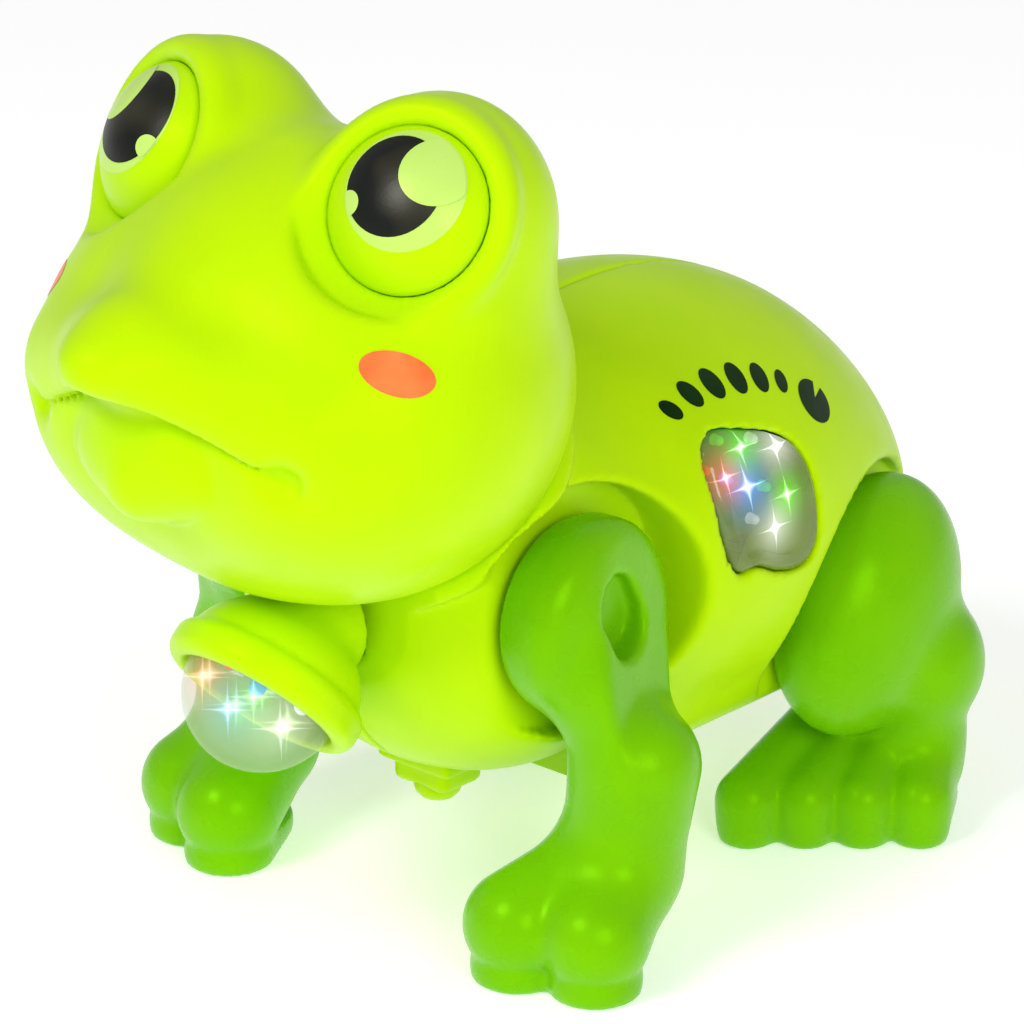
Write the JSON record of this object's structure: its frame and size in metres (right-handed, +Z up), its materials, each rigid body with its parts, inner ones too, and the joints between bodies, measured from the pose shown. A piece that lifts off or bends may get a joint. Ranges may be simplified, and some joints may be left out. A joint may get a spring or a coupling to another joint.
{
  "type": "crawling frog toy",
  "caption": "Battery-powered crawling frog toy with a big domed head, swinging legs, clear light windows in its flanks and a lamp under its chin.",
  "frame": {"origin": "on the floor, under the middle of the toy's box", "axes": "+Z up, the frog faces -Y, its left side is +X"},
  "size_m": [0.11, 0.1798, 0.1472],
  "materials": {
    "lime_plastic": "glossy moulded",
    "pale_lime_plastic": "satin moulded",
    "clear_plastic": "clear glossy",
    "led_epoxy": "clear epoxy domes",
    "green_plastic": "glossy moulded",
    "steel": "zinc plated",
    "nickel_steel": "nickel plated",
    "motor_can": "satin",
    "cell_wrap": "printed film",
    "circuit_board": "solder mask",
    "black_plastic": "matte",
    "brass": "turned",
    "white_nylon": "satin nylon"
  },
  "bodies": {
    "frame": {"body_shell_left": "lime_plastic", "body_shell_right": "lime_plastic", "head_shell": "lime_plastic", "eye_left": "lime_plastic", "eye_right": "lime_plastic", "lamp_hood": "lime_plastic", "lamp_lens": "clear_plastic", "lamp_board": "circuit_board", "lamp_leds": "led_epoxy", "window_left": "clear_plastic", "window_right": "clear_plastic", "light_board_left": "circuit_board", "light_board_right": "circuit_board", "side_leds_left": "led_epoxy", "side_leds_right": "led_epoxy", "battery_tray": "pale_lime_plastic", "battery_door": "lime_plastic", "battery_door_screw": "steel", "cell_1": "cell_wrap", "cell_2": "cell_wrap", "cell_3": "cell_wrap", "contact_plates": "nickel_steel", "contact_springs": "nickel_steel", "button_housing": "lime_plastic", "button_spring": "nickel_steel", "power_switch": "black_plastic", "speaker": "black_plastic", "main_board": "circuit_board", "board_parts": "black_plastic", "gear_plate_left": "white_nylon", "gear_plate_right": "white_nylon", "gearbox_screws": "steel", "gear_axles": "steel", "motor": "motor_can", "rear_bracket": "white_nylon", "shaft_bushes": "white_nylon", "shell_screws": "steel", "head_screws": "steel"},
    "button": {"power_button": "pale_lime_plastic"},
    "rotor": {"motor_shaft": "steel", "motor_pinion": "brass"},
    "first_gear": {"gear_1": "white_nylon"},
    "second_gear": {"gear_2": "white_nylon"},
    "crank": {"crank_gear": "white_nylon", "crank_left": "white_nylon", "crank_right": "white_nylon"},
    "front_left": {"front_rocker_left": "white_nylon", "front_leg_left": "green_plastic", "front_leg_screw_left": "steel"},
    "front_right": {"front_rocker_right": "white_nylon", "front_leg_right": "green_plastic", "front_leg_screw_right": "steel"},
    "rear_left": {"rear_rocker_left": "white_nylon", "rear_leg_left": "green_plastic", "rear_leg_screw_left": "steel"},
    "rear_right": {"rear_rocker_right": "white_nylon", "rear_leg_right": "green_plastic", "rear_leg_screw_right": "steel"},
    "link_left": {"link_rod_left": "white_nylon"},
    "link_right": {"link_rod_right": "white_nylon"}
  },
  "joints": [
    {"name": "front_left_swing", "type": "hinge", "parent": "frame", "child": "front_left", "pos_m": [0, -0.01256, 0.0605], "axis": [1, 0, 0], "range_deg": [-12, 12]},
    {"name": "front_right_swing", "type": "hinge", "parent": "frame", "child": "front_right", "pos_m": [0, -0.01256, 0.0605], "axis": [1, 0, 0], "range_deg": [-12, 12]},
    {"name": "rear_left_swing", "type": "hinge", "parent": "frame", "child": "rear_left", "pos_m": [0, 0.05944, 0.05], "axis": [1, 0, 0], "range_deg": [-12, 12]},
    {"name": "rear_right_swing", "type": "hinge", "parent": "frame", "child": "rear_right", "pos_m": [0, 0.05944, 0.05], "axis": [1, 0, 0], "range_deg": [-12, 12]},
    {"name": "link_left_pivot", "type": "hinge", "parent": "front_left", "child": "link_left", "pos_m": [0, -0.00656, 0.07089], "axis": [1, 0, 0], "range_deg": [-12, 12]},
    {"name": "link_right_pivot", "type": "hinge", "parent": "front_right", "child": "link_right", "pos_m": [0, -0.00656, 0.07089], "axis": [1, 0, 0], "range_deg": [-12, 12]},
    {"name": "crank_spin", "type": "hinge", "parent": "frame", "child": "crank", "pos_m": [0, 0.00557, 0.06895], "axis": [1, 0, 0], "continuous": true},
    {"name": "second_gear_spin", "type": "hinge", "parent": "frame", "child": "second_gear", "pos_m": [0, 0.01614, 0.07782], "axis": [1, 0, 0], "continuous": true},
    {"name": "first_gear_spin", "type": "hinge", "parent": "frame", "child": "first_gear", "pos_m": [0, 0.02741, 0.07372], "axis": [1, 0, 0], "continuous": true},
    {"name": "rotor_spin", "type": "hinge", "parent": "frame", "child": "rotor", "pos_m": [0, 0.02945, 0.0622], "axis": [1, 0, 0], "continuous": true},
    {"name": "power_button_press", "type": "slide", "parent": "frame", "child": "button", "axis": [0, 0, 1], "range_m": [0, 0.0015], "stiffness_N_per_m": 300, "deforming": ["button_spring"]}
  ],
  "couplings": [
    {"joint": "front_right_swing", "follows": "front_left_swing", "ratio": -1},
    {"joint": "rear_left_swing", "follows": "front_left_swing", "ratio": 1},
    {"joint": "rear_right_swing", "follows": "front_left_swing", "ratio": -1},
    {"joint": "link_left_pivot", "follows": "front_left_swing", "ratio": -1},
    {"joint": "link_right_pivot", "follows": "front_left_swing", "ratio": 1},
    {"joint": "second_gear_spin", "follows": "crank_spin", "ratio": -3.6},
    {"joint": "first_gear_spin", "follows": "crank_spin", "ratio": 10.8},
    {"joint": "rotor_spin", "follows": "crank_spin", "ratio": -36}
  ]
}
